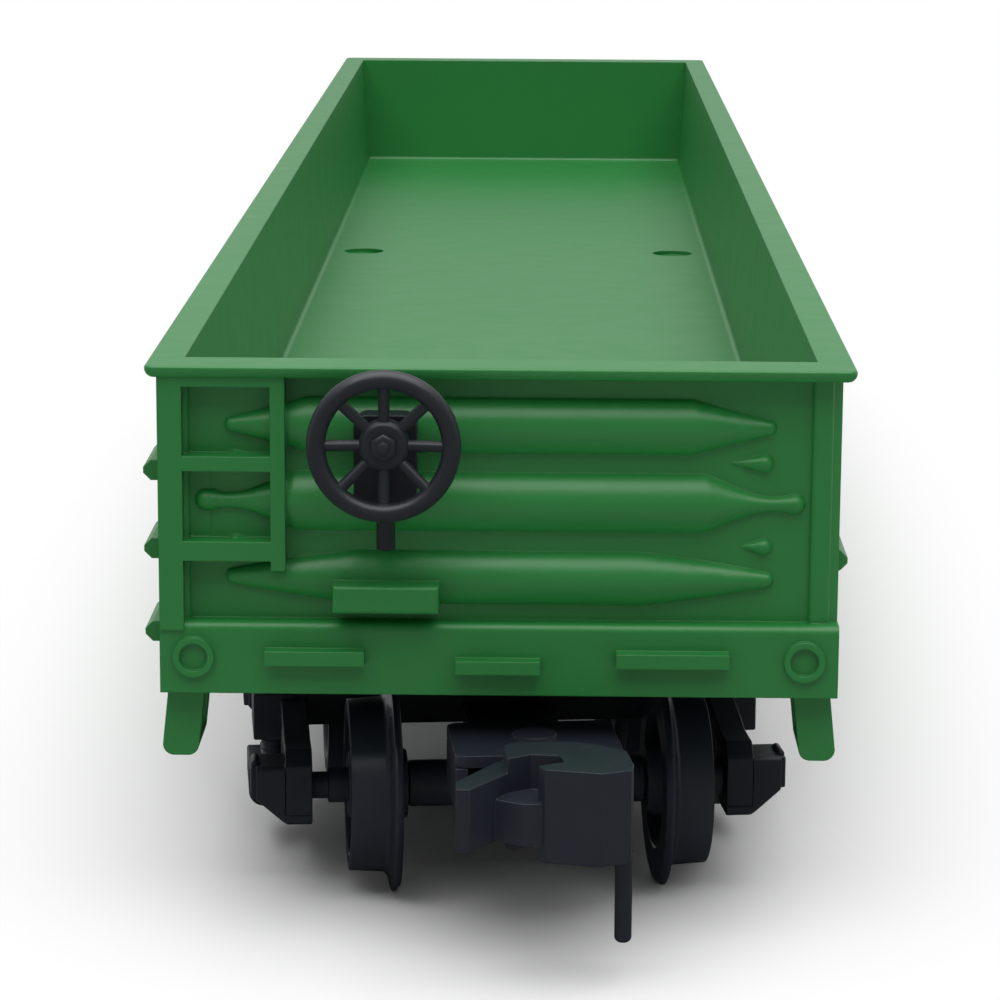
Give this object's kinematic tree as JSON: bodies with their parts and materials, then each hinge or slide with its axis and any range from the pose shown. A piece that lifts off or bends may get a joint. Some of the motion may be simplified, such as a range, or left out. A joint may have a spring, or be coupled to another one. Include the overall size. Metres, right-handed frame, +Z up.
{
  "type": "model railway gondola car",
  "caption": "open-topped model railway gondola with corrugated ends, ladders, hand brake wheel and two swivelling trucks with horn-hook couplers",
  "frame": {"origin": "centre of the car's footprint, at the bottom of the wheel flanges", "axes": "+X across the car, +Y along it away from the brake wheel end, +Z up"},
  "size_m": [0.038, 0.2074, 0.0315],
  "materials": {
    "green_plastic": "satin moulded styrene",
    "black_plastic": "satin moulded acetal",
    "wheel_plastic": "moulded acetal",
    "brake_plastic": "moulded styrene",
    "coupler_plastic": "moulded acetal",
    "ballast_steel": "rolled",
    "screw_steel": "blackened",
    "bronze": "rolled strip"
  },
  "bodies": {
    "car": {"body": "green_plastic", "underframe": "black_plastic", "weight_plate": "ballast_steel", "frame_screws": "screw_steel", "kingpin_a": "black_plastic", "kingpin_b": "black_plastic", "brake_housing": "brake_plastic"},
    "brake_wheel": {"brake_wheel": "brake_plastic"},
    "truck_b": {"truck_frame_b": "black_plastic", "coupler_cover_b": "black_plastic", "centring_spring_b": "bronze"},
    "coupler_b": {"coupler_b": "coupler_plastic"},
    "wheelset_1_b": {"axle_1_b": "wheel_plastic", "wheel_1_left_b": "wheel_plastic", "wheel_1_right_b": "wheel_plastic"},
    "wheelset_2_b": {"axle_2_b": "wheel_plastic", "wheel_2_left_b": "wheel_plastic", "wheel_2_right_b": "wheel_plastic"},
    "truck_a": {"truck_frame_a": "black_plastic", "coupler_cover_a": "black_plastic", "centring_spring_a": "bronze"},
    "coupler_a": {"coupler_a": "coupler_plastic"},
    "wheelset_1_a": {"axle_1_a": "wheel_plastic", "wheel_1_left_a": "wheel_plastic", "wheel_1_right_a": "wheel_plastic"},
    "wheelset_2_a": {"axle_2_a": "wheel_plastic", "wheel_2_left_a": "wheel_plastic", "wheel_2_right_a": "wheel_plastic"}
  },
  "joints": [
    {"name": "brake_wheel_turn", "type": "hinge", "parent": "car", "child": "brake_wheel", "pos_m": [-0.00595, -0.0972, 0.02752], "axis": [0, -1, 0], "continuous": true},
    {"name": "truck_b_swivel", "type": "hinge", "parent": "car", "child": "truck_b", "pos_m": [0, -0.075, 0.01075], "axis": [0, 0, 1], "range_deg": [-26, 14]},
    {"name": "coupler_b_swing", "type": "hinge", "parent": "truck_b", "child": "coupler_b", "pos_m": [0.00192, -0.0933, 0.00935], "axis": [0, 0, 1], "range_deg": [-9, 9], "stiffness_Nm_per_rad": 0.002},
    {"name": "wheelset_1_b_roll", "type": "hinge", "parent": "truck_b", "child": "wheelset_1_b", "pos_m": [0.00102, -0.0847, 0.006], "axis": [0.9945, 0.1045, 0], "continuous": true},
    {"name": "wheelset_2_b_roll", "type": "hinge", "parent": "truck_b", "child": "wheelset_2_b", "pos_m": [-0.00102, -0.0653, 0.006], "axis": [0.9945, 0.1045, 0], "continuous": true},
    {"name": "truck_a_swivel", "type": "hinge", "parent": "car", "child": "truck_a", "pos_m": [0, 0.075, 0.01075], "axis": [0, 0, 1], "range_deg": [-20, 20]},
    {"name": "coupler_a_swing", "type": "hinge", "parent": "truck_a", "child": "coupler_a", "pos_m": [0, 0.0934, 0.00935], "axis": [0, 0, 1], "range_deg": [-9, 9], "stiffness_Nm_per_rad": 0.002},
    {"name": "wheelset_1_a_roll", "type": "hinge", "parent": "truck_a", "child": "wheelset_1_a", "pos_m": [0, 0.08475, 0.006], "axis": [1, 0, 0], "continuous": true},
    {"name": "wheelset_2_a_roll", "type": "hinge", "parent": "truck_a", "child": "wheelset_2_a", "pos_m": [0, 0.06525, 0.006], "axis": [1, 0, 0], "continuous": true}
  ]
}
